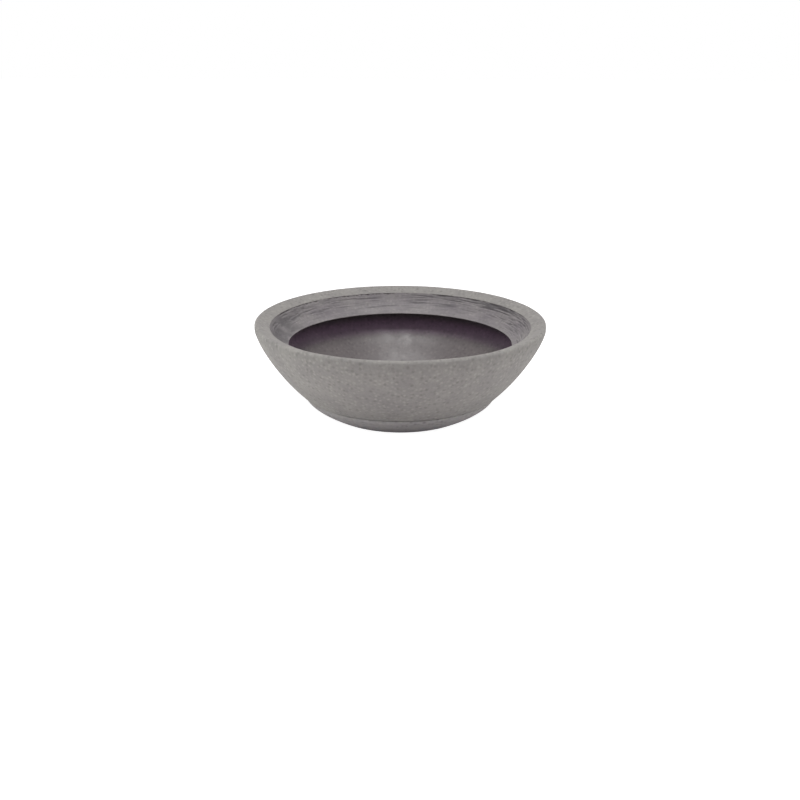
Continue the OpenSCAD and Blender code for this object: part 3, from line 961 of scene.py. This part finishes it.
class FLOWERPOT_OT_band(bpy.types.Operator):
    """Adds the scored inner band in place of the frame's band"""

    bl_idname = "flowerpot.add_band"
    bl_label = "Inner band"

    def execute(self, context):
        finish = context.scene.pot_finish
        piece = build_band(finish)
        # Darker score marks; painted shade in the chips and left-end smudges; painted highlight on burrs
        piece.data.materials.append(stone_polyethylene(
            "knife_scored_stone_polyethylene", finish.band_colour, finish,
            [("scored", 0.1, 0.9, SCORE_TINT), ("burred", 0.1, 0.8, PAINTED_BURR_HIGHLIGHT_TINT),
             ("chipped", 0.3, 0.9, PAINTED_CHIP_SHADE_TINT)],
            smooth="burnished", flecks=0.5, drag=0.09))
        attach(piece, "pot")
        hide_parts("rim_band")
        return {"FINISHED"}


class FLOWERPOT_OT_saucer(bpy.types.Operator):
    """Adds the ribbed drip saucer in place of the frame's saucer"""

    bl_idname = "flowerpot.add_saucer"
    bl_label = "Drip saucer"

    def execute(self, context):
        finish = context.scene.pot_finish
        piece = build_saucer(finish)
        # The foot tint is painted shade, darker towards the floor
        piece.data.materials.append(stone_polyethylene(
            "moulded_saucer_polyethylene", finish.saucer_colour, finish,
            [("low", 0.42, 1.0, PAINTED_FOOT_SHADE_TINT)], gloss=0.12))
        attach(piece, "saucer")
        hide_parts("drip_saucer")
        return {"FINISHED"}


class FLOWERPOT_OT_plugs(bpy.types.Operator):
    """Adds the rubber drain plugs in place of the frame's plugs"""

    bl_idname = "flowerpot.add_plugs"
    bl_label = "Drain plugs"

    def execute(self, context):
        rubber = moulded_rubber("pressed_epdm_rubber", context.scene.pot_finish.plug_colour)
        for i in range(PLUGS):
            piece = build_plug(i)
            piece.data.materials.append(rubber)
            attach(piece, f"plug_{i + 1}")
            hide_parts(f"drain_plug_{i + 1}")
        return {"FINISHED"}


# The camera stands 1.7 m from the middle of the rim and looks down at it at about 15 degrees. It is
# turned a little further down, so that the pot sits above the middle of the 800 by 800 picture.
CAMERA_DISTANCE, CAMERA_ELEVATION, CAMERA_ROLL, SENSOR_MM = 1.7, 15.09, 0.2, 36.0
FOCAL_PIXELS, PICTURE_PIXELS, RIM_ROW = 1231.0, 800.0, 319.15

# Half the floor's width in metres, its tiles along a side, and what the camera sees of it: a share of
# its paint, so that it still shows the pot's shadow, under an even glow
FLOOR_HALF, FLOOR_TILES, SEEN_PAINT, SEEN_GLOW = 6.0, 24, 0.5, 0.95

# The point that the lamps look at, and each lamp: its name, the setting that gives its power, its share
# of that, its place and size in metres, and its colour
LAMP_AIM = (0, 0, 0.1)
LAMPS = (
    ("overhead_softbox", "overhead", 1.0, (-0.03, -0.31, 1.65), (0.64, 0.64), (0.99, 1.0, 0.985)),
    ("low_front_strip", "front", 1.0, (0, -1.5, 0.12), (1.2, 0.18), (1.0, 0.95, 0.97)),
    ("low_left_strip", "sides", 1.17, (-1.14, -0.36, 0.12), (1.0, 0.18), (0.935, 1.0, 0.925)),
    ("low_right_strip", "sides", 0.82, (1.14, -0.36, 0.12), (1.0, 0.18), (0.935, 1.0, 0.925)),
    ("low_back_strip", "back", 1.0, (0, 1.5, 0.12), (1.2, 0.18), (1.0, 1.0, 1.0)))


def seen_directly(tree):
    """1 for rays that come from the camera, or by way of a gloss or through a clear thing."""
    path = add_node(tree, "ShaderNodeLightPath").outputs
    shiny = add_node(tree, "ShaderNodeMath", {0: path["Is Glossy Ray"], 1: path["Is Transmission Ray"]},
                     operation="MAXIMUM")
    return add_node(tree, "ShaderNodeMath", {0: path["Is Camera Ray"], 1: shiny}, operation="MAXIMUM")


def add_floor(stage):
    """The painted studio floor, which looks white but keeps the pot's shadow."""
    xs = np.linspace(-FLOOR_HALF, FLOOR_HALF, FLOOR_TILES + 1)
    parts = MeshParts()
    parts.add_sheet(parts.add_points(np.array([[(x, y, 0.0) for y in xs] for x in xs]) / MM))
    floor = parts.make("studio_floor")
    material = bpy.data.materials.new("painted_studio_floor")
    tree = blank_tree(material)
    seen = seen_directly(tree)
    share = add_node(tree, "ShaderNodeMapRange", {"Value": seen, "To Min": 1.0, "To Max": SEEN_PAINT})
    paint = add_node(tree, "ShaderNodeVectorMath", {0: stage.floor_colour[:3], "Scale": share},
                     operation="SCALE")
    matt = add_node(tree, "ShaderNodeBsdfDiffuse", {"Color": paint})
    level = add_node(tree, "ShaderNodeMath", {0: seen, 1: SEEN_GLOW}, operation="MULTIPLY")
    white = add_node(tree, "ShaderNodeEmission", {"Color": (1, 1, 1, 1), "Strength": level})
    both = add_node(tree, "ShaderNodeAddShader", {0: matt, 1: white})
    add_node(tree, "ShaderNodeOutputMaterial", {"Surface": both})
    floor.data.materials.append(material)


def add_room(scene, stage):
    """Even light from the studio's walls, which look white themselves."""
    world = bpy.data.worlds.new("studio_room")
    scene.world = world
    tree = blank_tree(world)
    strength = add_node(tree, "ShaderNodeMapRange", {
        "Value": seen_directly(tree), "To Min": stage.room, "To Max": 1.0})
    room = add_node(tree, "ShaderNodeBackground", {"Color": (1, 1, 1, 1), "Strength": strength})
    add_node(tree, "ShaderNodeOutputWorld", {"Surface": room})


def add_lamp(scene, name, power, place, size, colour):
    """A rectangular softbox that looks at the pot."""
    light = bpy.data.lights.new(name, "AREA")
    light.shape, light.energy, light.color = "RECTANGLE", power, colour
    light.size, light.size_y = size
    lamp = bpy.data.objects.new(name, light)
    lamp.location = place
    lamp.rotation_mode = "QUATERNION"
    lamp.rotation_quaternion = (Vector(LAMP_AIM) - Vector(place)).to_track_quat("-Z", "Y")
    scene.collection.objects.link(lamp)


def add_camera(scene):
    """The camera at the photograph's viewing angle."""
    camera = bpy.data.objects.new("photo_camera", bpy.data.cameras.new("photo_camera"))
    a = math.radians(CAMERA_ELEVATION)
    camera.location = (0, -CAMERA_DISTANCE * math.cos(a), CAD_HIGH.z + CAMERA_DISTANCE * math.sin(a))
    tilt = a + math.atan((PICTURE_PIXELS / 2 - RIM_ROW) / FOCAL_PIXELS)
    roll = Matrix.Rotation(math.radians(CAMERA_ROLL), 3, "Z")
    camera.rotation_euler = (Matrix.Rotation(math.pi / 2 - tilt, 3, "X") @ roll).to_euler()
    camera.data.sensor_width = SENSOR_MM
    camera.data.lens = FOCAL_PIXELS / PICTURE_PIXELS * SENSOR_MM
    scene.collection.objects.link(camera)
    scene.camera = camera


class FLOWERPOT_OT_stage(bpy.types.Operator):
    """Adds the studio floor, the softboxes, the even room light and the camera"""

    bl_idname = "flowerpot.add_stage"
    bl_label = "Studio stage"

    def execute(self, context):
        scene, stage = context.scene, context.scene.pot_stage
        scene.view_settings.view_transform = "Standard"
        add_floor(stage)
        add_room(scene, stage)
        for name, setting, share, place, size, colour in LAMPS:
            add_lamp(scene, name, getattr(stage, setting) * share, place, size, colour)
        add_camera(scene)
        return {"FINISHED"}


class FLOWERPOT_PT_panel(bpy.types.Panel):
    bl_idname = "FLOWERPOT_PT_panel"
    bl_label = "Flower Pot"
    bl_space_type = "VIEW_3D"
    bl_region_type = "UI"
    bl_category = "Flower Pot"

    def draw(self, context):
        for group in (context.scene.pot_finish, context.scene.pot_stage):
            for name in group.__annotations__:
                self.layout.prop(group, name)
        for operator in OPERATORS:
            self.layout.operator(operator.bl_idname)


OPERATORS = (FLOWERPOT_OT_shell, FLOWERPOT_OT_band, FLOWERPOT_OT_saucer, FLOWERPOT_OT_plugs,
             FLOWERPOT_OT_stage)
CLASSES = (PotFinish, PotStage, *OPERATORS, FLOWERPOT_PT_panel)


def register():
    for cls in CLASSES:
        bpy.utils.register_class(cls)
    bpy.types.Scene.pot_finish = bpy.props.PointerProperty(type=PotFinish)
    bpy.types.Scene.pot_stage = bpy.props.PointerProperty(type=PotStage)


def unregister():
    del bpy.types.Scene.pot_stage
    del bpy.types.Scene.pot_finish
    for cls in reversed(CLASSES):
        bpy.utils.unregister_class(cls)


def main():
    register()
    bpy.ops.flowerpot.add_shell()
    bpy.ops.flowerpot.add_band()
    bpy.ops.flowerpot.add_saucer()
    bpy.ops.flowerpot.add_plugs()
    bpy.ops.flowerpot.add_stage()


if __name__ == "__main__":
    main()
